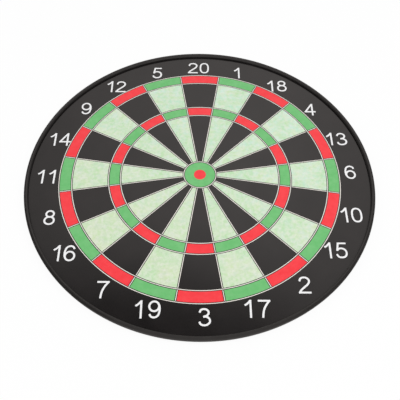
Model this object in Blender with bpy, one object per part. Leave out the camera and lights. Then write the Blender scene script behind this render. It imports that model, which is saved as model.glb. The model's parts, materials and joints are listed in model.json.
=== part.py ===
"""Magnetic dartboard: a printed face over a steel sheet and a hardboard core, held together by a
rounded rim, with a ring on the back to hang it by and four pads that keep the ring off the wall.

The board lies on its back. The origin is at the middle of the plane that the pads rest on, +Z comes
out of the printed face and +Y points at the 20, which is the top when the board hangs.
"""

from math import asin, atan2, cos, degrees, hypot, pi, radians, sin

import bmesh
import bpy
from mathutils import Matrix

MM = 0.001

# Clearances
SEAT_GAP = 0.3 * MM  # between pieces that lie on each other
EDGE_GAP = 0.3 * MM  # round the sheets, inside the rim's channel
HOLE_GAP = 0.3 * MM  # round a rivet, in the holes that it passes through
SWING_GAP = 0.1 * MM  # round the hanging ring, in the eye of its strap
WALL_GAP = 0.6 * MM  # between the hanger and the wall

# Rim: a U-section trim with a rounded nose
RIM_OUTER_R = 200.0 * MM
RIM_WALL = 2.4 * MM  # from the bottom of the channel to the nose
RIM_LIP_REACH = 5.1 * MM  # from the nose to the inner edge of a lip
RIM_FRONT_LIP = 3.2 * MM  # thickness of the lip over the face
RIM_BACK_LIP = 1.2 * MM
RIM_NOSE_DEPTH = 3.2 * MM  # from the nose to the crest of the lips
RIM_FRONT_ROUND = 1.8 * MM  # height of the round on a lip's inner edge
RIM_BACK_ROUND = 0.9 * MM

# Layers
FACE_THICK = 0.4 * MM
STEEL_THICK = 0.5 * MM
CORE_THICK = 2.4 * MM
BACK_THICK = 0.4 * MM

# Print on the face, measured inwards from the edge of the sheet
NUMBER_BORDER = 36.3 * MM
DOUBLE_WIDTH = 14.6 * MM
OUTER_SINGLE_WIDTH = 41.65 * MM
TRIPLE_WIDTH = 13.75 * MM
BULL_R = 18.6 * MM
BULL_EYE_R = 6.9 * MM
SECTORS = 20

# Hanger
WIRE_R = 0.8 * MM
RING_WIDTH = 24.0 * MM
RING_LENGTH = 20.0 * MM
RING_CORNER_R = 3.0 * MM
STRAP_THICK = 0.5 * MM
STRAP_WIDTH = 12.0 * MM
STRAP_CORNER_R = 3.0 * MM
HANGER_INSET = 44.9 * MM  # from the rim's lip to the ring's hinge
RIVET_SHANK_R = 1.5 * MM
RIVET_HEAD_R = 3.0 * MM
RIVET_HEAD_HEIGHT = 0.9 * MM
RIVET_CLINCH_R = 2.6 * MM
RIVET_CLINCH_THICK = 0.4 * MM
RIVET_FIRST = 8.0 * MM  # from the hinge to the upper rivet
RIVET_PITCH = 10.0 * MM
STRAP_TAIL = 6.0 * MM  # beyond the lower rivet

# Wall pads
PAD_R = 7.0 * MM
PAD_ROUND = 0.6 * MM
PAD_INSET = 29.9 * MM  # from the rim's lip to the middle of a pad
PAD_ANGLES = (45, 135, 225, 315)

# Facets of round stretches
SECTOR_STEPS = 6
BOARD_STEPS = SECTORS * SECTOR_STEPS
NOSE_STEPS = 8
LIP_STEPS = 3
SMALL_STEPS = 24  # once round a pad, a rivet, a hole or the eye
HEAD_STEPS = 5
PAD_EDGE_STEPS = 3
CORNER_STEPS = 4
BOW_STEPS = 18
WIRE_RESOLUTION = 3

# Hinge of the ring, below the back of the board
EYE_BORE_R = WIRE_R + SWING_GAP
EYE_OUTER_R = EYE_BORE_R + STRAP_THICK
PAD_THICK = 2 * EYE_OUTER_R + WALL_GAP

# Heights, from the wall up
BACK_Z = PAD_THICK + SEAT_GAP
CORE_Z = BACK_Z + BACK_THICK + SEAT_GAP
STEEL_Z = CORE_Z + CORE_THICK + SEAT_GAP
FACE_Z = STEEL_Z + STEEL_THICK + SEAT_GAP
FACE_TOP_Z = FACE_Z + FACE_THICK
HINGE_Z = BACK_Z - SEAT_GAP - EYE_OUTER_R

# Radii and places that follow from the rim
CHANNEL_R = RIM_OUTER_R - RIM_WALL
SHEET_R = CHANNEL_R - EDGE_GAP
LIP_R = RIM_OUTER_R - RIM_LIP_REACH
HINGE_Y = LIP_R - HANGER_INSET
PAD_CIRCLE_R = LIP_R - PAD_INSET

# Outer radius of each printed ring, from the middle out
DOUBLE_R = SHEET_R - NUMBER_BORDER
DOUBLE_INNER_R = DOUBLE_R - DOUBLE_WIDTH
TRIPLE_R = DOUBLE_INNER_R - OUTER_SINGLE_WIDTH
TRIPLE_INNER_R = TRIPLE_R - TRIPLE_WIDTH
RING_RADII = (BULL_EYE_R, BULL_R, TRIPLE_INNER_R, TRIPLE_R, DOUBLE_INNER_R, DOUBLE_R, SHEET_R)


def clear_scene():
    for obj in list(bpy.data.objects):
        bpy.data.objects.remove(obj, do_unlink=True)


def linear(level):
    """Scene-linear value of an 8-bit display level."""
    share = level / 255
    if share <= 0.04045:
        return share / 12.92
    return ((share + 0.055) / 1.055) ** 2.4


def finish(name, red, green, blue, roughness, metallic=0.0):
    """A plain material, with its colour in display levels."""
    material = bpy.data.materials.new(name)
    material.use_nodes = True
    shader = material.node_tree.nodes["Principled BSDF"]
    shader.inputs["Base Color"].default_value = (linear(red), linear(green), linear(blue), 1)
    shader.inputs["Roughness"].default_value = roughness
    shader.inputs["Metallic"].default_value = metallic
    return material


def add_object(name, data, materials, parent, location=(0, 0, 0)):
    for material in materials:
        if material.name not in data.materials:
            data.materials.append(material)
    obj = bpy.data.objects.new(name, data)
    obj.location = location
    obj.parent = parent
    bpy.context.scene.collection.objects.link(obj)
    return obj


def to_mesh(name, bm, sharp_angle=40):
    """Turn a closed bmesh into a smooth-shaded mesh whose faces point out."""
    bmesh.ops.recalc_face_normals(bm, faces=bm.faces)
    mesh = bpy.data.meshes.new(name)
    bm.to_mesh(mesh)
    bm.free()
    mesh.shade_smooth()
    mesh.set_sharp_from_angle(angle=radians(sharp_angle))
    return mesh


def turned(name, profile, steps, closed):
    """Spin a profile of (radius, height) points about Z. An open profile starts and ends on the axis."""
    bm = bmesh.new()
    verts = [bm.verts.new((radius, 0, height)) for radius, height in profile]
    edges = [bm.edges.new(pair) for pair in zip(verts, verts[1:])]
    if closed:
        edges.append(bm.edges.new((verts[-1], verts[0])))
    bmesh.ops.spin(bm, geom=verts + edges, cent=(0, 0, 0), axis=(0, 0, 1), angle=2 * pi, steps=steps)
    bmesh.ops.remove_doubles(bm, verts=bm.verts, dist=0.001 * MM)
    return to_mesh(name, bm)


def arc(centre, radii, start, end, steps):
    """Points (radius, height) on part of an ellipse, from one angle to another in degrees."""
    points = []
    for i in range(steps + 1):
        angle = radians(start + (end - start) * i / steps)
        points.append((centre[0] + radii[0] * cos(angle), centre[1] + radii[1] * sin(angle)))
    return points


def disc(name, radius, thick, steps):
    """A flat round sheet that stands on its own origin."""
    bm = bmesh.new()
    bmesh.ops.create_cone(
        bm,
        cap_ends=True,
        segments=steps,
        radius1=radius,
        radius2=radius,
        depth=thick,
        matrix=Matrix.Translation((0, 0, thick / 2)),
    )
    return to_mesh(name, bm)


def rim_mesh():
    """Two rounded lips joined by the nose, with the channel that grips the layers between them."""
    lip_under = FACE_TOP_Z + SEAT_GAP
    lip_over = BACK_Z - SEAT_GAP
    top = lip_under + RIM_FRONT_LIP
    bottom = lip_over - RIM_BACK_LIP
    crest_r = RIM_OUTER_R - RIM_NOSE_DEPTH
    front_round = (crest_r - LIP_R, RIM_FRONT_ROUND)
    back_round = (crest_r - LIP_R, RIM_BACK_ROUND)
    middle = (top + bottom) / 2

    profile = [(LIP_R, lip_under)]
    profile += arc((crest_r, top - RIM_FRONT_ROUND), front_round, 180, 90, LIP_STEPS)
    profile += arc((crest_r, middle), (RIM_NOSE_DEPTH, top - middle), 90, -90, NOSE_STEPS)[1:-1]
    profile += arc((crest_r, bottom + RIM_BACK_ROUND), back_round, 270, 180, LIP_STEPS)
    profile += [(LIP_R, lip_over), (CHANNEL_R, lip_over), (CHANNEL_R, lip_under)]
    return turned("rim", profile, BOARD_STEPS, closed=True)


def ink_at(point):
    """Which ink prints the face at a point: 0 black, 1 pale, 2 red, 3 green."""
    radius = hypot(point.x, point.y)
    ring = next(i for i, outer in enumerate(RING_RADII) if radius < outer)
    if ring < 2:
        return (2, 3)[ring]
    if RING_RADII[ring] == SHEET_R:
        return 0
    sector_angle = 360 / SECTORS
    from_top = degrees(atan2(point.x, point.y)) % 360
    sector = int((from_top + sector_angle / 2) // sector_angle)
    scoring_ring = RING_RADII[ring] in (TRIPLE_R, DOUBLE_R)
    return sector % 2 + (2 if scoring_ring else 0)


def face_mesh():
    """Round sheet whose top is divided into the rings and sectors of the target."""
    bm = bmesh.new()
    bmesh.ops.create_circle(bm, cap_ends=True, segments=BOARD_STEPS, radius=RING_RADII[0])
    for inner, outer in zip(RING_RADII, RING_RADII[1:]):
        edges = [edge for edge in bm.edges if edge.is_boundary]
        grown = bmesh.ops.extrude_edge_only(bm, edges=edges)["geom"]
        verts = [item for item in grown if isinstance(item, bmesh.types.BMVert)]
        bmesh.ops.scale(bm, verts=verts, vec=(outer / inner, outer / inner, 1))
    for face in bm.faces:
        face.material_index = ink_at(face.calc_center_median())
    bmesh.ops.translate(bm, verts=bm.verts, vec=(0, 0, FACE_THICK))

    edges = [edge for edge in bm.edges if edge.is_boundary]
    grown = bmesh.ops.extrude_edge_only(bm, edges=edges)["geom"]
    verts = [item for item in grown if isinstance(item, bmesh.types.BMVert)]
    bmesh.ops.translate(bm, verts=verts, vec=(0, 0, -FACE_THICK))
    edges = [edge for edge in bm.edges if edge.is_boundary]
    bmesh.ops.holes_fill(bm, edges=edges, sides=0)
    return to_mesh("face_sheet", bm)


def strap_mesh():
    """Strip folded round the ring's bar, with both leaves flat against the back. Origin on the hinge."""
    leaf_top = EYE_OUTER_R
    leaf_bottom = EYE_OUTER_R - 2 * STRAP_THICK
    tail = -(RIVET_FIRST + RIVET_PITCH + STRAP_TAIL)
    fold_end = -180 - degrees(asin(leaf_bottom / EYE_OUTER_R))
    outline = [(tail, leaf_top)]
    outline += arc((0, 0), (EYE_OUTER_R, EYE_OUTER_R), 90, fold_end, SMALL_STEPS)
    outline += [(tail, leaf_bottom)]

    bm = bmesh.new()
    verts = [bm.verts.new((-STRAP_WIDTH / 2, y, z)) for y, z in outline]
    side = bm.faces.new(verts)
    grown = bmesh.ops.extrude_face_region(bm, geom=[side])["geom"]
    verts = [item for item in grown if isinstance(item, bmesh.types.BMVert)]
    bmesh.ops.translate(bm, verts=verts, vec=(STRAP_WIDTH, 0, 0))
    corners = []
    for edge in bm.edges:
        first, second = edge.verts
        at_tail = abs(first.co.y - tail) < SEAT_GAP and abs(second.co.y - tail) < SEAT_GAP
        if at_tail and abs(first.co.x - second.co.x) < SEAT_GAP:
            corners.append(edge)
    bmesh.ops.bevel(
        bm, geom=corners, offset=STRAP_CORNER_R, segments=CORNER_STEPS, profile=0.5, affect="EDGES"
    )
    return to_mesh("hanger_strap", bm)


def ring_curve():
    """Closed wire in the shape of a D: a straight bar on the hinge, round corners and a round bow."""
    half = RING_WIDTH / 2
    bow_y = RING_LENGTH - half
    corner_x = half - RING_CORNER_R
    corner = (RING_CORNER_R, RING_CORNER_R)
    points = arc((corner_x, RING_CORNER_R), corner, -90, 0, CORNER_STEPS)
    points += arc((0, bow_y), (half, half), 0, 180, BOW_STEPS)
    points += arc((-corner_x, RING_CORNER_R), corner, 180, 270, CORNER_STEPS)

    curve = bpy.data.curves.new("hanger_ring", "CURVE")
    curve.dimensions = "3D"
    curve.bevel_depth = WIRE_R
    curve.bevel_resolution = WIRE_RESOLUTION
    spline = curve.splines.new("POLY")
    spline.points.add(len(points) - 1)
    for point, (x, y) in zip(spline.points, points):
        point.co = (x, y, 0, 1)
    spline.use_cyclic_u = True
    return curve


def rivet_mesh(clinch_z):
    """Domed head below its origin, a shank through the board and a clinched end."""
    profile = arc((0, 0), (RIVET_HEAD_R, RIVET_HEAD_HEIGHT), -90, 0, HEAD_STEPS)
    profile += [
        (RIVET_SHANK_R, 0),
        (RIVET_SHANK_R, clinch_z),
        (RIVET_CLINCH_R, clinch_z),
        (RIVET_CLINCH_R, clinch_z + RIVET_CLINCH_THICK),
        (0, clinch_z + RIVET_CLINCH_THICK),
    ]
    return turned("hanger_rivet", profile, SMALL_STEPS, closed=False)


def rivet_hole_mesh(seat_z):
    """Clearance hole for a rivet, wider at the top, where the clinched end lies in the core."""
    hole_r = RIVET_SHANK_R + HOLE_GAP
    pocket_r = RIVET_CLINCH_R + HOLE_GAP
    pocket_z = CORE_Z + CORE_THICK - 2 * SEAT_GAP - RIVET_CLINCH_THICK - seat_z
    core_top = CORE_Z + CORE_THICK - seat_z
    profile = [
        (0, -SEAT_GAP),
        (hole_r, -SEAT_GAP),
        (hole_r, pocket_z),
        (pocket_r, pocket_z),
        (pocket_r, core_top + SEAT_GAP / 2),
        (0, core_top + SEAT_GAP / 2),
    ]
    return turned("rivet_hole", profile, SMALL_STEPS, closed=False)


def pad_mesh():
    """Short round pad with a rounded lower edge."""
    profile = [(0, 0)]
    profile += arc((PAD_R - PAD_ROUND, PAD_ROUND), (PAD_ROUND, PAD_ROUND), -90, 0, PAD_EDGE_STEPS)
    profile += [(PAD_R, PAD_THICK), (0, PAD_THICK)]
    return turned("wall_pad", profile, SMALL_STEPS, closed=False)


def cutter(name, mesh, parent, location, turn=(0, 0, 0)):
    obj = add_object(name, mesh, [], parent, location)
    obj.rotation_euler = turn
    obj.hide_render = True
    obj.display_type = "WIRE"
    return obj


def cut(obj, tool):
    boolean = obj.modifiers.new(tool.name, "BOOLEAN")
    boolean.operation = "DIFFERENCE"
    boolean.solver = "EXACT"
    boolean.object = tool


def build():
    clear_scene()
    board = bpy.data.objects.new("board", None)
    bpy.context.scene.collection.objects.link(board)

    black_plastic = finish("rim_black", 40, 39, 39, 0.42)
    inks = [
        finish("print_black", 46, 44, 43, 0.5),
        finish("print_pale", 212, 228, 203, 0.5),
        finish("print_red", 244, 70, 76, 0.5),
        finish("print_green", 104, 194, 112, 0.5),
    ]
    bare_steel = finish("tin_plate", 176, 178, 180, 0.35, 1.0)
    hardboard = finish("hardboard", 112, 78, 52, 0.8)
    backing = finish("backing_black", 34, 34, 35, 0.7)
    zinc = finish("zinc_plate", 190, 192, 196, 0.3, 1.0)
    soft_pad = finish("pad_black", 26, 26, 27, 0.85)

    add_object("rim", rim_mesh(), [black_plastic], board)
    add_object("face_sheet", face_mesh(), inks, board, (0, 0, FACE_Z))
    steel = disc("steel_sheet", SHEET_R, STEEL_THICK, BOARD_STEPS)
    add_object("steel_sheet", steel, [bare_steel], board, (0, 0, STEEL_Z))
    core_disc = disc("core_board", SHEET_R, CORE_THICK, BOARD_STEPS)
    core = add_object("core_board", core_disc, [hardboard], board, (0, 0, CORE_Z))
    back_disc = disc("back_sheet", SHEET_R, BACK_THICK, BOARD_STEPS)
    back = add_object("back_sheet", back_disc, [backing], board, (0, 0, BACK_Z))

    hinge = (0, HINGE_Y, HINGE_Z)
    strap = add_object("hanger_strap", strap_mesh(), [zinc], board, hinge)
    add_object("hanger_ring", ring_curve(), [zinc], board, hinge)
    eye_length = STRAP_WIDTH + 2 * HOLE_GAP
    eye = disc("eye_bore", EYE_BORE_R, eye_length, SMALL_STEPS)
    eye_start = (-eye_length / 2, HINGE_Y, HINGE_Z)
    cut(strap, cutter("eye_bore", eye, board, eye_start, turn=(0, pi / 2, 0)))

    seat_z = HINGE_Z + EYE_OUTER_R - 2 * STRAP_THICK - SEAT_GAP
    clinch_z = CORE_Z + CORE_THICK - SEAT_GAP - RIVET_CLINCH_THICK - seat_z
    rivet = rivet_mesh(clinch_z)
    hole = rivet_hole_mesh(seat_z)
    rivet_places = (("upper", RIVET_FIRST), ("lower", RIVET_FIRST + RIVET_PITCH))
    for label, distance in rivet_places:
        place = (0, HINGE_Y - distance, seat_z)
        add_object("hanger_rivet_" + label, rivet, [zinc], board, place)
        tool = cutter("rivet_hole_" + label, hole, board, place)
        for layer in (strap, back, core):
            cut(layer, tool)

    pad = pad_mesh()
    for number, angle in enumerate(PAD_ANGLES, start=1):
        place = (PAD_CIRCLE_R * cos(radians(angle)), PAD_CIRCLE_R * sin(radians(angle)), 0)
        add_object("wall_pad_%d" % number, pad, [soft_pad], board, place)


build()
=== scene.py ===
"""Magnetic dartboard lying on its back, printed face up, in a plain white studio."""

import json
from math import atan2, cos, degrees, hypot, pi, radians, sin

import bmesh
import bpy
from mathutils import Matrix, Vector

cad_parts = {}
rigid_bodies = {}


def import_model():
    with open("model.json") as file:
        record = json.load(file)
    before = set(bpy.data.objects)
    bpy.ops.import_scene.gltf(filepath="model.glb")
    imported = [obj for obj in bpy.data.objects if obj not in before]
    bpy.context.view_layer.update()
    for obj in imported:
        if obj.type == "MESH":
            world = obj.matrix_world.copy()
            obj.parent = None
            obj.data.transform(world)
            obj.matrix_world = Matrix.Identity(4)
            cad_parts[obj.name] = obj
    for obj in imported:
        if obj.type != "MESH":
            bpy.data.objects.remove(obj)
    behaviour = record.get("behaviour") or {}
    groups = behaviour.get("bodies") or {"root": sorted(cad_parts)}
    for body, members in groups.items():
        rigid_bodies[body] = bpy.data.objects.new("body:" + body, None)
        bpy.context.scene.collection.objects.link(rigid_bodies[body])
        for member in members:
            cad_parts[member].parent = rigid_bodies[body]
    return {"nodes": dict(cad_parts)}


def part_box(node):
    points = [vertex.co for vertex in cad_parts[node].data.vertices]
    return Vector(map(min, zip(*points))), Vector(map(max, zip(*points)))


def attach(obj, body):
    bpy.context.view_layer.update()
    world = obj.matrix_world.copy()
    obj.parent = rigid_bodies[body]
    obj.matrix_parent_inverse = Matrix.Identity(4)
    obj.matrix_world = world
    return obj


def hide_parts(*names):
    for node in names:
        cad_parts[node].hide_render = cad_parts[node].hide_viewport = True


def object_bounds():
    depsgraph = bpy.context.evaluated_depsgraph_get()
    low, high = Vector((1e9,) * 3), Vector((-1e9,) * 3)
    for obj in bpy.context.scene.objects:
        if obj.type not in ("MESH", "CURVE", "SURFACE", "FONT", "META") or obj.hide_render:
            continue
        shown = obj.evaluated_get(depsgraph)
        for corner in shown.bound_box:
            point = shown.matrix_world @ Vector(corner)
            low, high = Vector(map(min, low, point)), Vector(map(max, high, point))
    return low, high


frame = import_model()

MM = 0.001
WELD = 0.001 * MM  # points nearer than this are made one
cad_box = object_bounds()

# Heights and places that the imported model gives
FACE_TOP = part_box("face_sheet")[1].z
BACK_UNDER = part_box("back_sheet")[0].z
RIM_LOW, RIM_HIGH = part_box("rim")
STRAP_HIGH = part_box("hanger_strap")[1]

# Target: the whole print sits a hair off the middle of the rim
PRINT_X, PRINT_Y = -0.15 * MM, -0.4 * MM
SECTORS = 20
SECTOR_ANGLE = 360 / SECTORS
DOUBLE_R, DOUBLE_INNER_R = 160.85 * MM, 146.4 * MM
TRIPLE_R, TRIPLE_INNER_R = 104.75 * MM, 91.15 * MM
BULL_R, BULL_EYE_R = 18.6 * MM, 6.9 * MM
LINE_RADII = (DOUBLE_R, DOUBLE_INNER_R, TRIPLE_R, TRIPLE_INNER_R, BULL_R)
LINE_HALF = 0.37 * MM  # half the width of a light line
HAIRLINE_HALF = 1.2 * MM  # from a line's middle to the ink beside it, so that some ground shows
SPOKE_SHIFT = 0.05 * MM  # the lines between sectors lie towards the black and red ones
SPOKE_REACH = 8 * MM  # faces this near to a spoke are cut by its edges
CUT_SLACK = 0.0001 * MM  # points nearer than this to a cut lie on it
PRINT_STEPS = 240
INK_SINK, INK_HEIGHT = 0.02 * MM, 0.05 * MM  # how far the ink goes under and over the face

# Numbers clockwise from the top: text, nudge right and up, and pitch of two figures, in millimetres
NUMBER_CIRCLE_R = 174.5
NUMBERS = (
    ("20", -1.5, 0, 15),
    ("1", -5.5, 0, 0),
    ("18", -4.5, 1.5, 15),
    ("4", -3.5, -0.5, 0),
    ("13", -2.5, 0.5, 15),
    ("6", -0.5, 4.5, 0),
    ("10", 0, -0.5, 14),
    ("15", 1.5, 3.5, 14.5),
    ("2", 4, 1.5, 0),
    ("17", 2, 0, 16.5),
    ("3", 4.5, -0.5, 0),
    ("19", 0.5, -1, 16),
    ("7", 4, -4.5, 0),
    ("16", -3, -1.2, 14),
    ("8", 1.5, -5.5, 0),
    ("11", -1.5, -4, 13),
    ("14", -2.5, -2.5, 14.5),
    ("9", 0, -1, 0),
    ("12", -5.5, -1.5, 14),
    ("5", -1.5, -1, 0),
)
FIGURE_WIDE, FIGURE_HIGH = 19.5 * MM, 19.35 * MM
STROKE, STROKE_WELD = 0.104, 0.0001  # width, and merging distance, in shares of a figure's height
CURVE_STEPS, LINE_STEPS = 10, 2

# Middle lines of the strokes of each figure, in shares of its height
# A loop has its middle, its radii and its fullness, which is 1 for an ellipse
STROKES = {
    "0": [("loop", (0.33, 0.5), (0.26, 0.44), 1.25)],
    "1": [
        ("line", (0.46, 0), (0.46, 1)),
        ("curve", (0.162, 0.688), (0.295, 0.776), (0.443, 0.945)),
    ],
    "2": [
        ("curve", (0.128, 0.71), (0.195, 0.872), (0.37, 0.94), (0.562, 0.876), (0.636, 0.725),
         (0.57, 0.565), (0.385, 0.385), (0.2, 0.215), (0.11, 0.085)),
        ("line", (0.045, 0.06), (0.703, 0.06)),
    ],
    "3": [
        ("curve", (0.11, 0.75), (0.19, 0.892), (0.345, 0.94), (0.517, 0.875), (0.575, 0.74),
         (0.51, 0.605), (0.39, 0.545), (0.3, 0.515)),
        ("curve", (0.3, 0.515), (0.42, 0.525), (0.575, 0.45), (0.642, 0.29), (0.55, 0.125),
         (0.348, 0.058), (0.175, 0.115), (0.1, 0.25)),
    ],
    "4": [
        ("line", (0.515, 0), (0.515, 1)),
        ("line", (0.02, 0.315), (0.72, 0.315)),
        ("line", (0.078, 0.32), (0.485, 0.94)),
    ],
    "5": [
        ("line", (0.175, 0.94), (0.65, 0.94)),
        ("line", (0.225, 0.96), (0.14, 0.465)),
        ("curve", (0.13, 0.5), (0.22, 0.585), (0.36, 0.622), (0.55, 0.55), (0.632, 0.345),
         (0.55, 0.13), (0.345, 0.06), (0.17, 0.12), (0.096, 0.265)),
    ],
    "6": [
        ("loop", (0.365, 0.327), (0.252, 0.27), 1),
        ("curve", (0.595, 0.762), (0.51, 0.892), (0.355, 0.94), (0.182, 0.855), (0.1, 0.66),
         (0.084, 0.43), (0.105, 0.26)),
    ],
    "7": [
        ("line", (0.056, 0.94), (0.7, 0.94)),
        ("curve", (0.645, 0.935), (0.49, 0.72), (0.385, 0.52), (0.32, 0.3), (0.285, 0)),
    ],
    "8": [
        ("loop", (0.385, 0.738), (0.214, 0.202), 1),
        ("loop", (0.385, 0.301), (0.262, 0.242), 1.05),
    ],
}

# Rim: its section, measured inwards from the nose
RIM_CREST, RIM_REACH, RIM_WALL = 3.2 * MM, 5.2 * MM, 2.4 * MM
RIM_FRONT_ROUND, RIM_BACK_ROUND = 1.9 * MM, 0.9 * MM
RIM_FOOT = 0.15 * MM  # chamfer at the corner of a lip
SEAT_GAP = 0.3 * MM  # between a lip and the sheet that it holds
RIM_DRIFT = 1.3 * MM  # the front lip's inner edge lies towards the 3, so the lip is widest at the 20
RIM_SOFTNESS = 3.5 * MM  # how far from that edge the drift fades out
RIM_STEPS, RIM_ROUND_STEPS, RIM_NOSE_STEPS = 360, 10, 28

# Hanger and pads
WIRE_R, WIRE_STEPS = 0.8 * MM, 6
RING_HALF, RING_LENGTH, RING_CORNER = 12.0 * MM, 20.0 * MM, 3.0 * MM
RING_CORNER_STEPS, RING_BOW_STEPS = 12, 64
EYE_R, EYE_STEPS = 1.4 * MM, 40
EYE_OUTSIDE, EYE_INSIDE = (90, -196), (-254, 84)  # angles where the round of the eye starts and ends
STRAP_THICK, STRAP_SLIT = 0.5 * MM, 0.02 * MM
STRAP_WIDTH, STRAP_TAIL, STRAP_CORNER = 12.0 * MM, 24.0 * MM, 3.0 * MM
STRAP_CORNER_STEPS = 8
RIVET_HEAD_R, RIVET_HEAD_HEIGHT, RIVET_HEAD_EDGE = 3.0 * MM, 0.9 * MM, 0.12 * MM
RIVET_SHANK_R, RIVET_CLINCH_R, RIVET_CLINCH_THICK = 1.5 * MM, 2.6 * MM, 0.4 * MM
RIVET_STEPS, RIVET_DOME_STEPS = 48, 12
PAD_SOFT_EDGE, PAD_TOP_EDGE = 0.6 * MM, 0.2 * MM
PAD_STEPS, PAD_EDGE_STEPS = 64, 8
HINGE = Vector((0, STRAP_HIGH.y - EYE_R, STRAP_HIGH.z - EYE_R))

# Floor: its size in metres, its share of plain white, and the paper that takes the shadow
FLOOR_SIZE, FLOOR_GAP = 8, 0.3 * MM
FLOOR_WHITE, FLOOR_PAPER = 0.94, (0.95, 0.95, 0.95, 1)

# Studio that the gloss mirrors: directions, where each part of it starts and ends, and its level
PANEL_BEHIND = (0.079, 0.6, 0.796)  # middle of the bright panel that shines on the face
PANEL_REACH = 0.5  # radians from there to its edge
PANEL_MIDDLE, PANEL_EDGE = 1.36, 0.5
DARK_CEILING = (-0.098, 0.0, 0.995)  # middle of the dark strip overhead
CEILING_ENDS = (0.857, 0.926)  # cosines of the angles from there
STRIP_ENDS = (0.15, 0.33)  # the strip lies behind the board only
RIGHT_WALL, LEFT_WALL, FRONT_WALL = 0.3, 0.05, 1.3
SIDE_NEAR, SIDE_FAR = 0.5, 0.75
FRONT_ENDS = (-0.3, 0.2)
WARM_WALLS = (1.0, 0.94, 0.91, 1)
SOFT_LIGHT = 0.5  # level of the even light on everything that isn't gloss

# Lamps: name, place and size in metres, and power
LAMPS = (
    ("key", (0.9, -0.4, 1.45), 1.0, 12.6),
    ("fill", (-1.1, -0.3, 1.25), 1.2, 7.3),
)

# Camera: its place from the middle of the target, its turn in degrees, and its lens
CAMERA_OFFSET = Vector((-6.3, -408.0, 548.9)) * MM
CAMERA_TURN = (34.17, -0.605, -0.087)
CAMERA_LENS, CAMERA_NEAR = 53.38, 0.01


# Modelling by hand


def begin(name, add, **size):
    """Adds a primitive and opens it in edit mode, with all of it selected."""
    bpy.ops.object.select_all(action="DESELECT")
    add(**size)
    piece = bpy.context.active_object
    piece.name = piece.data.name = name
    bpy.ops.object.mode_set(mode="EDIT")
    bpy.ops.mesh.select_mode(type="VERT")
    bpy.ops.mesh.select_all(action="SELECT")
    return piece


def only(piece):
    """Makes a piece the one that is selected and active, in object mode."""
    if bpy.context.mode != "OBJECT":
        bpy.ops.object.mode_set(mode="OBJECT")
    bpy.ops.object.select_all(action="DESELECT")
    piece.select_set(True)
    bpy.context.view_layer.objects.active = piece


def edit(piece):
    """Opens a piece in edit mode, with all of it selected."""
    only(piece)
    bpy.ops.object.mode_set(mode="EDIT")
    bpy.ops.mesh.select_all(action="SELECT")


def select(piece, kind, test):
    """Selects, in edit mode, the faces or edges that pass a test."""
    bpy.ops.mesh.select_mode(type=kind)
    bpy.ops.mesh.select_all(action="DESELECT")
    bm = bmesh.from_edit_mesh(piece.data)
    for item in bm.faces if kind == "FACE" else bm.edges:
        item.select_set(test(item))
    bm.select_flush_mode()
    bmesh.update_edit_mesh(piece.data)


def draw(name, points):
    """Draws a line in edit mode, by extruding one point from the last, and selects it."""
    piece = begin(name, bpy.ops.mesh.primitive_plane_add, size=MM, location=points[0])
    bpy.ops.mesh.merge(type="CENTER")
    for here, there in zip(points, points[1:]):
        step = Vector(there) - Vector(here)
        bpy.ops.mesh.extrude_vertices_move(TRANSFORM_OT_translate={"value": step})
    bpy.ops.mesh.select_all(action="SELECT")
    bpy.ops.mesh.remove_doubles(threshold=WELD)
    return piece


def arc(middle, radii, start, end, steps):
    """Points (across, up) on part of an ellipse, from one angle to another in degrees."""
    turns = [radians(start + (end - start) * i / steps) for i in range(steps + 1)]
    return [(middle[0] + radii[0] * cos(a), middle[1] + radii[1] * sin(a)) for a in turns]


def turn(name, outline, steps, x=0.0, y=0.0):
    """Spins an outline of (radius, height) points round an upright axis."""
    piece = draw(name, [(x + radius, y, height) for radius, height in outline])
    bpy.ops.mesh.spin(steps=steps, angle=2 * pi, center=(x, y, 0), axis=(0, 0, 1))
    return piece


def face_up(piece):
    """Turns every face of a flat piece upwards."""
    edit(piece)
    bpy.ops.mesh.normals_make_consistent(inside=False)
    select(piece, "FACE", lambda face: face.normal.z < 0)
    bpy.ops.mesh.flip_normals()


def apply_modifier(piece, kind, **settings):
    """Adds a modifier with its settings and applies it."""
    only(piece)
    modifier = piece.modifiers.new(kind.lower(), kind)
    for label, value in settings.items():
        setattr(modifier, label, value)
    bpy.ops.object.modifier_apply(modifier=modifier.name)


def copy_of(piece):
    """A copy of a piece, with its own mesh."""
    only(piece)
    bpy.ops.object.duplicate()
    return bpy.context.active_object


def discard(piece):
    """Deletes a piece that is no longer needed."""
    only(piece)
    bpy.ops.object.delete()


def join(name, pieces):
    """Makes several pieces one, with a name."""
    only(pieces[0])
    for piece in pieces:
        piece.select_set(True)
    bpy.ops.object.join()
    pieces[0].name = pieces[0].data.name = name
    return pieces[0]


def complete(piece, finish, body="board", stands_for=None, sharp=35):
    """Puts a piece's place in its mesh, closes it, and gives it its finish and its body."""
    only(piece)
    bpy.ops.object.transform_apply(location=True, rotation=True, scale=True)
    bpy.ops.object.mode_set(mode="EDIT")
    bpy.ops.mesh.select_all(action="SELECT")
    bpy.ops.mesh.remove_doubles(threshold=WELD)
    bpy.ops.mesh.normals_make_consistent(inside=False)
    bpy.ops.object.mode_set(mode="OBJECT")
    bpy.ops.object.shade_smooth_by_angle(angle=radians(sharp))
    piece.data.materials.clear()
    piece.data.materials.append(finish)
    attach(piece, body)
    if stands_for:
        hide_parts(stands_for)


# Finishes

# Grain and clouds: shares of both noises in the roughness, and where each noise starts and ends
PATCH_SHARE, FINE_SHARE = 0.7, 0.3
GRAIN_ENDS, CLOUD_ENDS = (0.35, 0.65), (0.38, 0.66)

# Inks: bumps to the metre and their depth
INK_GRAIN, INK_DEPTH = 1600.0, 0.004 * MM

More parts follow.
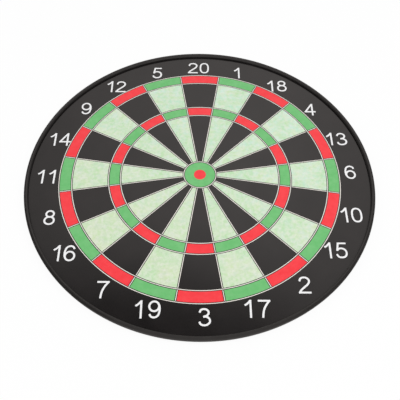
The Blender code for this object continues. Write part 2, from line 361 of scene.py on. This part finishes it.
# Pale ink: display levels of its warm and cool ends, which way it cools, and how far from the middle
PALE_WARM, PALE_COOL = (207, 223, 191), (201, 239, 221)
PALE_COOLS_TO, PALE_REACH = (0.5, 0.87, 0), 150 * MM

# Clouds in it: display levels, clouds to the metre, and strength
PALE_CLOUDS = (
    ((224, 233, 186), 120.0, 0.8),
    ((176, 226, 172), 60.0, 0.7),
    ((240, 241, 232), 260.0, 0.6),
)


def colour(red, green, blue):
    """A colour from its display levels, 0 to 255, by the standard display curve."""
    shares = [level / 255 for level in (red, green, blue)]
    return [s / 12.92 if s <= 0.04045 else ((s + 0.055) / 1.055) ** 2.4 for s in shares] + [1]


def add_node(tree, kind, links=(), **settings):
    """Adds a node. Links and plain values are given by the name of the input."""
    node = tree.nodes.new("ShaderNode" + kind)
    for label, value in settings.items():
        setattr(node, label, value)
    for label, value in dict(links).items():
        socket = node.inputs[label]
        if isinstance(value, bpy.types.NodeSocket):
            tree.links.new(value, socket)
        else:
            socket.default_value = value
    return node


def noise(tree, scale, detail, roughness):
    """Cloudy noise that is fixed to the piece, with so many clouds to the metre."""
    place = add_node(tree, "TexCoord").outputs["Object"]
    settings = {"Vector": place, "Scale": scale, "Detail": detail, "Roughness": roughness}
    return add_node(tree, "TexNoise", settings).outputs["Fac"]


def spread(tree, value, start, end, low, high):
    """Maps the stretch of a value from start to end onto low to high."""
    stretch = {"Value": value, "From Min": start, "From Max": end, "To Min": low, "To Max": high}
    return add_node(tree, "MapRange", stretch).outputs["Result"]


def new_group(name, inputs, outputs):
    """Starts a shader node group and returns its tree, its input node and its output node."""
    tree = bpy.data.node_groups.new(name, "ShaderNodeTree")
    for label, kind, value in inputs:
        socket = tree.interface.new_socket(label, in_out="INPUT", socket_type="NodeSocket" + kind)
        socket.default_value = value
    for label, kind in outputs:
        tree.interface.new_socket(label, in_out="OUTPUT", socket_type="NodeSocket" + kind)
    return tree, tree.nodes.new("NodeGroupInput"), tree.nodes.new("NodeGroupOutput")


def grain_group():
    """Fine moulded or rolled grain: a height for bumps, and a roughness that drifts."""
    tree, given, out = new_group(
        "fine_grain",
        [("Scale", "Float", 1500.0), ("Smoothest", "Float", 0.35), ("Roughest", "Float", 0.5)],
        [("Height", "Float"), ("Roughness", "Float")],
    )
    fine = noise(tree, given.outputs["Scale"], detail=3.0, roughness=0.6)
    patches = noise(tree, scale=22.0, detail=4.0, roughness=0.55)
    blend = add_node(tree, "Math", {0: patches, 1: PATCH_SHARE}, operation="MULTIPLY")
    both = {0: fine, 1: FINE_SHARE, 2: blend.outputs[0]}
    mixed = add_node(tree, "Math", both, operation="MULTIPLY_ADD").outputs[0]
    limits = (given.outputs["Smoothest"], given.outputs["Roughest"])
    rough = spread(tree, mixed, *GRAIN_ENDS, *limits)
    tree.links.new(fine, out.inputs["Height"])
    tree.links.new(rough, out.inputs["Roughness"])
    return tree


def cloud_group():
    """A colour that drifts towards a second one in soft cloudy patches."""
    tree, given, out = new_group(
        "cloudy_colour",
        [
            ("Colour", "Color", (0.5, 0.5, 0.5, 1)),
            ("Second", "Color", (0.6, 0.6, 0.6, 1)),
            ("Scale", "Float", 100.0),
            ("Amount", "Float", 0.8),
        ],
        [("Colour", "Color")],
    )
    cloud = noise(tree, given.outputs["Scale"], detail=5.0, roughness=0.62)
    share = spread(tree, cloud, *CLOUD_ENDS, 0.0, given.outputs["Amount"])
    mix = add_node(tree, "MixRGB", {0: share, 1: given.outputs["Colour"], 2: given.outputs["Second"]})
    tree.links.new(mix.outputs[0], out.inputs["Colour"])
    return tree


GRAIN = grain_group()
CLOUD = cloud_group()


def new_finish(name):
    """Starts a material and returns it with its tree and its shader."""
    material = bpy.data.materials.new(name)
    material.use_nodes = True
    return material, material.node_tree, material.node_tree.nodes["Principled BSDF"]


def add_grain(tree, shader, scale, rough, depth):
    """Gives a shader its grain: bumps to the metre, roughness from and to, and depth of the bumps."""
    values = {"Scale": scale, "Smoothest": rough[0], "Roughest": rough[1]}
    grain = add_node(tree, "Group", node_tree=GRAIN)
    for label, value in values.items():
        grain.inputs[label].default_value = value
    relief = {"Height": grain.outputs["Height"], "Strength": 1.0, "Distance": depth}
    bump = add_node(tree, "Bump", relief)
    tree.links.new(grain.outputs["Roughness"], shader.inputs["Roughness"])
    tree.links.new(bump.outputs["Normal"], shader.inputs["Normal"])


def add_cloud(tree, first, second, scale, amount=0.8):
    """A colour, plain or linked, that drifts towards a second one."""
    cloud = add_node(tree, "Group", node_tree=CLOUD)
    if isinstance(first, bpy.types.NodeSocket):
        tree.links.new(first, cloud.inputs["Colour"])
    else:
        cloud.inputs["Colour"].default_value = first
    cloud.inputs["Second"].default_value = second
    cloud.inputs["Scale"].default_value = scale
    cloud.inputs["Amount"].default_value = amount
    return cloud.outputs["Colour"]


def plain_finish(name, first, second, cloud, grain, rough, depth, metallic=0.0, specular=0.5):
    """A finish of one cloudy colour and one grain."""
    material, tree, shader = new_finish(name)
    base = add_cloud(tree, colour(*first), colour(*second), cloud)
    tree.links.new(base, shader.inputs["Base Color"])
    add_grain(tree, shader, grain, rough, depth)
    shader.inputs["Metallic"].default_value = metallic
    shader.inputs["Specular IOR Level"].default_value = specular
    return material


def ink_finish(name, first, second):
    """Printing ink: smooth, with a slightly cloudy colour."""
    return plain_finish(
        name, first, second, cloud=160.0, grain=INK_GRAIN, rough=(0.3, 0.42), depth=INK_DEPTH
    )


def pale_ink_finish():
    """Pale green singles that cool towards the 18, printed with the speckle of a fibre board."""
    material, tree, shader = new_finish("pale_ink")
    place = add_node(tree, "TexCoord").outputs["Object"]
    along = add_node(tree, "VectorMath", {0: place, 1: PALE_COOLS_TO}, operation="DOT_PRODUCT")
    share = spread(tree, along.outputs["Value"], -PALE_REACH, PALE_REACH, 0.0, 1.0)
    ends = {0: share, 1: colour(*PALE_WARM), 2: colour(*PALE_COOL)}
    tone = add_node(tree, "MixRGB", ends).outputs[0]
    for second, scale, amount in PALE_CLOUDS:
        tone = add_cloud(tree, tone, colour(*second), scale, amount)
    tree.links.new(tone, shader.inputs["Base Color"])
    add_grain(tree, shader, INK_GRAIN, rough=(0.42, 0.56), depth=INK_DEPTH)
    return material


PALE_INK = pale_ink_finish()
RED_INK = ink_finish("red_ink", (250, 56, 65), (255, 70, 77))
GREEN_INK = ink_finish("green_ink", (108, 192, 115), (124, 199, 128))
LINE_INK = ink_finish("line_ink", (248, 243, 233), (254, 249, 241))
WHITE_INK = ink_finish("white_ink", (250, 250, 250), (243, 243, 244))
VINYL = plain_finish(
    "black_vinyl", (24, 22, 22), (31, 28, 28),
    cloud=30.0, grain=1600.0, rough=(0.13, 0.2), depth=0.004 * MM,
)
RIM_PLASTIC = plain_finish(
    "rim_plastic", (40, 38, 37), (46, 44, 43),
    cloud=60.0, grain=2400.0, rough=(0.28, 0.38), depth=0.01 * MM, specular=0.4,
)
TIN_PLATE = plain_finish(
    "tin_plate", (176, 178, 180), (190, 192, 194),
    cloud=90.0, grain=900.0, rough=(0.28, 0.42), depth=0.002 * MM, metallic=1.0,
)
HARDBOARD = plain_finish(
    "hardboard", (112, 78, 52), (92, 62, 40),
    cloud=260.0, grain=1100.0, rough=(0.72, 0.88), depth=0.05 * MM,
)
BACKING = plain_finish(
    "backing_sheet", (33, 33, 34), (42, 42, 43),
    cloud=45.0, grain=1300.0, rough=(0.6, 0.78), depth=0.02 * MM,
)
ZINC = plain_finish(
    "zinc_plate", (188, 190, 194), (206, 208, 210),
    cloud=260.0, grain=2200.0, rough=(0.24, 0.38), depth=0.002 * MM, metallic=1.0,
)
PAD_FOAM = plain_finish(
    "pad_foam", (26, 26, 27), (36, 36, 37),
    cloud=500.0, grain=3200.0, rough=(0.8, 0.92), depth=0.05 * MM,
)


def dress(node, finish):
    """Gives a CAD node that stays in view its finish."""
    piece = frame["nodes"][node]
    if not piece.material_slots:
        piece.data.materials.append(finish)
    for held in piece.material_slots:
        held.material = finish


dress("face_sheet", VINYL)
dress("steel_sheet", TIN_PLATE)
dress("core_board", HARDBOARD)
dress("back_sheet", BACKING)


# Print


def sector_at(x, y):
    """Number of the sector at a point, clockwise from the 20."""
    return int((degrees(atan2(x, y)) % 360 + SECTOR_ANGLE / 2) // SECTOR_ANGLE) % SECTORS


def spoke_distance(x, y):
    """How far a point lies from the middle of the nearest line between two sectors."""
    off = degrees(atan2(x, y)) % SECTOR_ANGLE - SECTOR_ANGLE / 2
    beside = abs(hypot(x, y) * sin(radians(off)))
    return abs(beside + SPOKE_SHIFT if sector_at(x, y) % 2 else beside - SPOKE_SHIFT)


def ink_at(face):
    """The ink of a face of the target, or None where the black ground shows."""
    x, y, _ = face.calc_center_median()
    radius = hypot(x, y)
    from_ring = min(abs(radius - line) for line in LINE_RADII)
    if from_ring < LINE_HALF:
        return "line"
    if radius < BULL_EYE_R:
        return "red"
    if from_ring < HAIRLINE_HALF:
        return None
    if radius < BULL_R:
        return "green"
    from_spoke = spoke_distance(x, y)
    if from_spoke < LINE_HALF:
        return "line"
    if from_spoke < HAIRLINE_HALF:
        return None
    scoring_ring = TRIPLE_INNER_R < radius < TRIPLE_R or DOUBLE_INNER_R < radius
    if sector_at(x, y) % 2 == 0:
        return "red" if scoring_ring else None
    return "green" if scoring_ring else "pale"


def target_disc(centre):
    """A flat disc in rings, from the outer edge of the target to its middle."""
    edges = [DOUBLE_R + LINE_HALF, DOUBLE_R - LINE_HALF, DOUBLE_R - HAIRLINE_HALF]
    for line in LINE_RADII[1:]:
        edges += [line + HAIRLINE_HALF, line + LINE_HALF, line - LINE_HALF, line - HAIRLINE_HALF]
    edges.append(BULL_EYE_R)
    disc = begin(
        "target",
        bpy.ops.mesh.primitive_circle_add,
        vertices=PRINT_STEPS,
        radius=edges[0],
        fill_type="NOTHING",
        location=centre,
    )
    bpy.ops.mesh.select_mode(type="EDGE")
    for outer, inner in zip(edges, edges[1:]):
        bpy.ops.mesh.extrude_edges_move()
        bpy.ops.transform.resize(value=(inner / outer, inner / outer, 1), center_override=centre)
    bpy.ops.mesh.extrude_edges_move()
    bpy.ops.mesh.merge(type="CENTER")
    return disc


def cut_beside_spoke(disc, centre, along, across, place):
    """Cuts a disc by a line that runs beside one spoke, from the bull outwards."""

    def near(face):
        middle = face.calc_center_median()
        beside = abs(middle.dot(across) - place) < SPOKE_REACH
        return beside and middle.dot(along) > BULL_R - LINE_HALF

    select(disc, "FACE", near)
    start = Vector(centre) + across * place
    bpy.ops.mesh.bisect(plane_co=start, plane_no=across, threshold=CUT_SLACK)


def print_pieces():
    """Draws the target once as a flat disc, cuts it along its lines and takes it apart by ink."""
    centre = (PRINT_X, PRINT_Y, FACE_TOP - INK_SINK)
    disc = target_disc(centre)
    for spoke in range(SECTORS):
        angle = radians((spoke + 0.5) * SECTOR_ANGLE)
        along = Vector((sin(angle), cos(angle), 0))
        across = Vector((cos(angle), -sin(angle), 0)) * (1 if spoke % 2 else -1)
        for edge in (-HAIRLINE_HALF, -LINE_HALF, LINE_HALF, HAIRLINE_HALF):
            cut_beside_spoke(disc, centre, along, across, edge + SPOKE_SHIFT)

    inks = {}
    for ink in ("pale", "red", "green", "line"):
        select(disc, "FACE", lambda face: ink_at(face) == ink)
        before = set(bpy.data.objects)
        bpy.ops.mesh.separate(type="SELECTED")
        inks[ink] = (set(bpy.data.objects) - before).pop()
        inks[ink].name = inks[ink].data.name = "print_" + ink
    discard(disc)
    for piece in inks.values():
        face_up(piece)
        apply_modifier(piece, "SOLIDIFY", thickness=INK_SINK + INK_HEIGHT, offset=1.0)
    return inks


# Numbers


def stroke_curve(kind, points):
    """The middle line of one stroke, as a curve that is turned so that its ribbon lies flat."""
    if kind == "loop":
        middle, radii, fullness = points
        bpy.ops.curve.primitive_bezier_circle_add(radius=1.0)
        knots = bpy.context.active_object.data.splines[0].bezier_points
        for knot in knots:
            knot.handle_left_type = knot.handle_right_type = "FREE"
            for side in ("handle_left", "handle_right"):
                setattr(knot, side, knot.co + (getattr(knot, side) - knot.co) * fullness)
        for knot in knots:
            for part in ("co", "handle_left", "handle_right"):
                x, y, _ = getattr(knot, part)
                setattr(knot, part, (middle[0] + radii[0] * x, middle[1] + radii[1] * y, 0))
    else:
        bpy.ops.curve.primitive_bezier_curve_add(radius=1.0)
        knots = bpy.context.active_object.data.splines[0].bezier_points
        knots.add(len(points) - 2)
        for knot, (x, y) in zip(knots, points):
            knot.co = (x, y, 0)
            knot.handle_left_type = knot.handle_right_type = "VECTOR" if kind == "line" else "AUTO"
    for knot in knots:
        knot.tilt = pi / 2
    return bpy.context.active_object


def stroke_piece(kind, *points):
    """One stroke of a figure as a flat ribbon along its middle line."""
    bpy.ops.object.select_all(action="DESELECT")
    curve = stroke_curve(kind, points).data
    curve.dimensions = "3D"
    curve.twist_mode = "Z_UP"
    curve.resolution_u = LINE_STEPS if kind == "line" else CURVE_STEPS
    curve.extrude = STROKE / 2
    bpy.ops.object.convert(target="MESH")
    piece = bpy.context.active_object
    edit(piece)
    bpy.ops.mesh.remove_doubles(threshold=STROKE_WELD)
    face_up(piece)
    apply_modifier(piece, "SOLIDIFY", thickness=(INK_SINK + INK_HEIGHT) / FIGURE_HIGH, offset=1.0)
    return piece


def figure(text):
    """One figure: its strokes made one, at its size, centred on the origin."""
    piece, *others = [stroke_piece(*stroke) for stroke in STROKES[text]]
    for other in others:
        apply_modifier(piece, "BOOLEAN", operation="UNION", solver="EXACT", object=other)
        discard(other)
    lowest, highest = Vector(piece.bound_box[0]), Vector(piece.bound_box[6])
    middle = (lowest + highest) / 2
    edit(piece)
    bpy.ops.transform.translate(value=(-middle.x, -middle.y, 0))
    bpy.ops.transform.resize(value=(FIGURE_WIDE, FIGURE_HIGH, FIGURE_HIGH), center_override=(0, 0, 0))
    only(piece)
    return piece


def number_piece():
    """All numbers round the target, copied from the figures. A nine is a six turned over."""
    figures = {text: figure(text) for text in STROKES}
    figures["9"] = copy_of(figures["6"])
    edit(figures["9"])
    bpy.ops.transform.rotate(value=pi, orient_axis="Z", center_override=(0, 0, 0))
    copies = []
    for sector, (text, right, up, pitch) in enumerate(NUMBERS):
        angle = radians(sector * SECTOR_ANGLE)
        x = NUMBER_CIRCLE_R * sin(angle) + right - pitch * (len(text) - 1) / 2
        y = NUMBER_CIRCLE_R * cos(angle) + up
        for place, character in enumerate(text):
            copy = copy_of(figures[character])
            across = (x + pitch * place) * MM
            copy.location = (PRINT_X + across, PRINT_Y + y * MM, FACE_TOP - INK_SINK)
            copies.append(copy)
    for master in figures.values():
        discard(master)
    return join("print_numbers", copies)


prints = print_pieces()
complete(prints["pale"], PALE_INK)
complete(prints["red"], RED_INK)
complete(prints["green"], GREEN_INK)
complete(prints["line"], LINE_INK)
complete(number_piece(), WHITE_INK)


# Rim


def rim_piece():
    """The trim round the edge: a tall round lip over the face, a round nose and a low lip behind."""
    outer, top, bottom = RIM_HIGH.x, RIM_HIGH.z, RIM_LOW.z
    crest, lip, channel = outer - RIM_CREST, outer - RIM_REACH, outer - RIM_WALL
    under, over = FACE_TOP + SEAT_GAP, BACK_UNDER - SEAT_GAP
    middle = (top + bottom) / 2
    outline = [(lip + RIM_FOOT, under), (lip, under + RIM_FOOT)]
    front, back = (crest, top - RIM_FRONT_ROUND), (crest, bottom + RIM_BACK_ROUND)
    outline += arc(front, (crest - lip, RIM_FRONT_ROUND), 180, 90, RIM_ROUND_STEPS)
    outline += arc((crest, middle), (outer - crest, top - middle), 90, -90, RIM_NOSE_STEPS)[1:-1]
    outline += arc(back, (crest - lip, RIM_BACK_ROUND), 270, 180, RIM_ROUND_STEPS)
    outline += [(lip, over - RIM_FOOT), (lip + RIM_FOOT, over)]
    outline += [(channel, over), (channel, under), outline[0]]
    piece = turn("rim_trim", outline, RIM_STEPS)

    def on_lip_wall(edge):
        ends = [end.co + piece.location for end in edge.verts]
        return all(end.z > FACE_TOP and hypot(end.x, end.y) < lip + RIM_FOOT / 2 for end in ends)

    select(piece, "EDGE", on_lip_wall)
    bpy.ops.transform.translate(
        value=(0, -RIM_DRIFT, 0),
        use_proportional_edit=True,
        proportional_edit_falloff="LINEAR",
        proportional_size=RIM_SOFTNESS,
    )
    return piece


complete(rim_piece(), RIM_PLASTIC, stands_for="rim", sharp=50)


# Hanger and pads


def ring_piece():
    """The wire ring, bent as a D: a bar in the strap's eye, two tight corners and a round bow."""
    corner = (RING_CORNER, RING_CORNER)
    path = arc((RING_HALF - RING_CORNER, RING_CORNER), corner, -90, 0, RING_CORNER_STEPS)
    path += arc((0, RING_LENGTH - RING_HALF), (RING_HALF, RING_HALF), 0, 180, RING_BOW_STEPS)
    path += arc((RING_CORNER - RING_HALF, RING_CORNER), corner, 180, 270, RING_CORNER_STEPS)
    path += path[:1]
    piece = draw("wire_ring", [HINGE + Vector((x, y, 0)) for x, y in path])
    only(piece)
    bpy.ops.object.convert(target="CURVE")
    piece.data.bevel_depth = WIRE_R
    piece.data.bevel_resolution = WIRE_STEPS
    bpy.ops.object.convert(target="MESH")
    return bpy.context.active_object


def strap_piece():
    """The strip that holds the ring: folded round its bar, both leaves flat on the back."""
    bore = EYE_R - STRAP_THICK
    outline = [(-STRAP_TAIL, EYE_R)]
    outline += arc((0, 0), (EYE_R, EYE_R), *EYE_OUTSIDE, EYE_STEPS)
    outline += [(-STRAP_TAIL, bore - STRAP_THICK), (-STRAP_TAIL, bore - STRAP_SLIT)]
    outline += arc((0, 0), (bore, bore), *EYE_INSIDE, EYE_STEPS)
    outline += [(-STRAP_TAIL, bore + STRAP_SLIT), (-STRAP_TAIL, EYE_R)]
    piece = draw("ring_strap", [HINGE + Vector((-STRAP_WIDTH / 2, y, z)) for y, z in outline])
    bpy.ops.mesh.edge_face_add()
    bpy.ops.mesh.extrude_region_move(TRANSFORM_OT_translate={"value": (STRAP_WIDTH, 0, 0)})

    def at_tail_corner(edge):
        one, other = [end.co - HINGE for end in edge.verts]
        upright = abs(one.x - other.x) < STRAP_SLIT and abs(one.z - other.z) > STRAP_THICK / 2
        return upright and max(one.y, other.y) < STRAP_SLIT - STRAP_TAIL

    select(piece, "EDGE", at_tail_corner)
    bpy.ops.mesh.bevel(offset=STRAP_CORNER, segments=STRAP_CORNER_STEPS, affect="EDGES")
    return piece


def rivet_piece(label):
    """A domed rivet, its head pressed down on the strap."""
    low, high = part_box("hanger_rivet_" + label)
    middle = (low + high) / 2
    seat = low.z + RIVET_HEAD_HEIGHT
    clinch = high.z - RIVET_CLINCH_THICK
    outline = arc((0, seat), (RIVET_HEAD_R, RIVET_HEAD_HEIGHT), -90, 0, RIVET_DOME_STEPS)
    outline += [(RIVET_HEAD_R, seat + RIVET_HEAD_EDGE), (RIVET_SHANK_R, seat + 2 * RIVET_HEAD_EDGE)]
    outline += [(RIVET_SHANK_R, clinch), (RIVET_CLINCH_R, clinch)]
    outline += [(RIVET_CLINCH_R, high.z), (0, high.z)]
    return turn("strap_rivet_" + label, outline, RIVET_STEPS, middle.x, middle.y)


def pad_piece(number):
    """A round stick-on pad with a soft lower edge."""
    low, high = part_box("wall_pad_%d" % number)
    middle = (low + high) / 2
    radius = middle.x - low.x
    soft = PAD_SOFT_EDGE
    outline = [(0, low.z), (radius / 2, low.z)]
    outline += arc((radius - soft, low.z + soft), (soft, soft), -90, 0, PAD_EDGE_STEPS)
    outline += [(radius, BACK_UNDER - PAD_TOP_EDGE), (radius - PAD_TOP_EDGE, BACK_UNDER)]
    outline += [(0, BACK_UNDER)]
    return turn("pad_%d" % number, outline, PAD_STEPS, middle.x, middle.y)


complete(ring_piece(), ZINC, body="ring", stands_for="hanger_ring", sharp=60)
complete(strap_piece(), ZINC, stands_for="hanger_strap", sharp=40)
for label in ("upper", "lower"):
    complete(rivet_piece(label), ZINC, stands_for="hanger_rivet_" + label)
for number in (1, 2, 3, 4):
    complete(pad_piece(number), PAD_FOAM, stands_for="wall_pad_%d" % number)


# Studio


def floor_finish():
    """White floor that keeps a faint shadow. Seen from below it isn't there."""
    material, tree, shader = new_finish("white_floor")
    tree.nodes.remove(shader)
    path = add_node(tree, "LightPath").outputs
    white = add_node(tree, "Emission", {"Color": (1, 1, 1, 1), "Strength": 1.0})
    paper = add_node(tree, "BsdfDiffuse", {"Color": FLOOR_PAPER})
    clear = add_node(tree, "BsdfTransparent")
    share = add_node(tree, "Math", {0: path["Is Camera Ray"], 1: FLOOR_WHITE}, operation="MULTIPLY")
    lit = add_node(tree, "MixShader", {0: share.outputs[0], 1: paper.outputs[0], 2: white.outputs[0]})
    below = add_node(tree, "NewGeometry").outputs["Backfacing"]
    shown = add_node(tree, "MixShader", {0: below, 1: lit.outputs[0], 2: clear.outputs[0]})
    tree.links.new(shown.outputs[0], tree.nodes["Material Output"].inputs["Surface"])
    return material


def floor():
    """The floor lies just under the pads, and throws no light back at the board."""
    bpy.ops.object.select_all(action="DESELECT")
    bpy.ops.mesh.primitive_plane_add(size=FLOOR_SIZE, location=(0, 0, cad_box[0].z - FLOOR_GAP))
    plane = bpy.context.active_object
    plane.name = "floor"
    plane.data.materials.append(floor_finish())
    plane.visible_diffuse = plane.visible_glossy = plane.visible_shadow = False


def surroundings():
    """Even soft light, white to the eye. The gloss mirrors a bright panel under a dark strip."""
    world = bpy.data.worlds.new("studio")
    bpy.context.scene.world = world
    world.use_nodes = True
    tree = world.node_tree
    background = tree.nodes["Background"]
    path = add_node(tree, "LightPath").outputs
    tint = add_node(tree, "MixRGB", {0: path["Is Glossy Ray"], 1: (1, 1, 1, 1), 2: WARM_WALLS})
    tree.links.new(tint.outputs[0], background.inputs["Color"])
    direction = add_node(tree, "TexCoord").outputs["Generated"]
    facing = add_node(tree, "VectorMath", {0: direction, 1: PANEL_BEHIND}, operation="DOT_PRODUCT")
    away = add_node(tree, "Math", {0: facing.outputs["Value"]}, operation="ARCCOSINE")
    panel = spread(tree, away.outputs[0], 0.0, PANEL_REACH, PANEL_MIDDLE, PANEL_EDGE)
    overhead = add_node(tree, "VectorMath", {0: direction, 1: DARK_CEILING}, operation="DOT_PRODUCT")
    ceiling = spread(tree, overhead.outputs["Value"], *CEILING_ENDS, 0.0, 1.0)
    ceiling.node.interpolation_type = "SMOOTHSTEP"
    place = add_node(tree, "SeparateXYZ", {0: direction}).outputs
    behind = spread(tree, place["Y"], *STRIP_ENDS, 0.0, 1.0)
    strip = add_node(tree, "Math", {0: ceiling, 1: behind}, operation="MULTIPLY")
    walls = spread(tree, strip.outputs[0], 0.0, 1.0, 1.0, 0.0)
    right = spread(tree, place["X"], SIDE_NEAR, SIDE_FAR, 1.0, RIGHT_WALL)
    left = spread(tree, place["X"], -SIDE_FAR, -SIDE_NEAR, LEFT_WALL, 1.0)
    front = spread(tree, place["Y"], *FRONT_ENDS, FRONT_WALL, 1.0)
    for part in (panel, right, left, front):
        walls = add_node(tree, "Math", {0: walls, 1: part}, operation="MULTIPLY").outputs[0]
    gloss = add_node(tree, "Mix", {"Factor": path["Is Glossy Ray"], "A": SOFT_LIGHT, "B": walls})
    straight = {0: path["Is Camera Ray"], 1: path["Is Transmission Ray"]}
    seen = add_node(tree, "Math", straight, operation="MAXIMUM")
    level = add_node(tree, "Mix", {"Factor": seen.outputs[0], "A": gloss.outputs["Result"], "B": 1.0})
    tree.links.new(level.outputs["Result"], background.inputs["Strength"])


def lamps():
    """Two large soft lamps, aimed at the board and out of its gloss."""
    for name, place, size, power in LAMPS:
        bpy.ops.object.light_add(type="AREA", location=place)
        lamp = bpy.context.active_object
        lamp.name = name
        lamp.data.size = size
        lamp.data.energy = power
        lamp.visible_glossy = False
        lamp.rotation_euler = (-Vector(place)).to_track_quat("-Z", "Y").to_euler()


def camera():
    """The camera looks down at the board from in front, as the photograph does."""
    place = Vector((PRINT_X, PRINT_Y, FACE_TOP)) + CAMERA_OFFSET
    bpy.ops.object.camera_add(location=place, rotation=[radians(angle) for angle in CAMERA_TURN])
    view = bpy.context.active_object
    view.data.lens = CAMERA_LENS
    view.data.clip_start = CAMERA_NEAR
    bpy.context.scene.camera = view


floor()
surroundings()
lamps()
camera()
bpy.context.scene.view_settings.view_transform = "Standard"
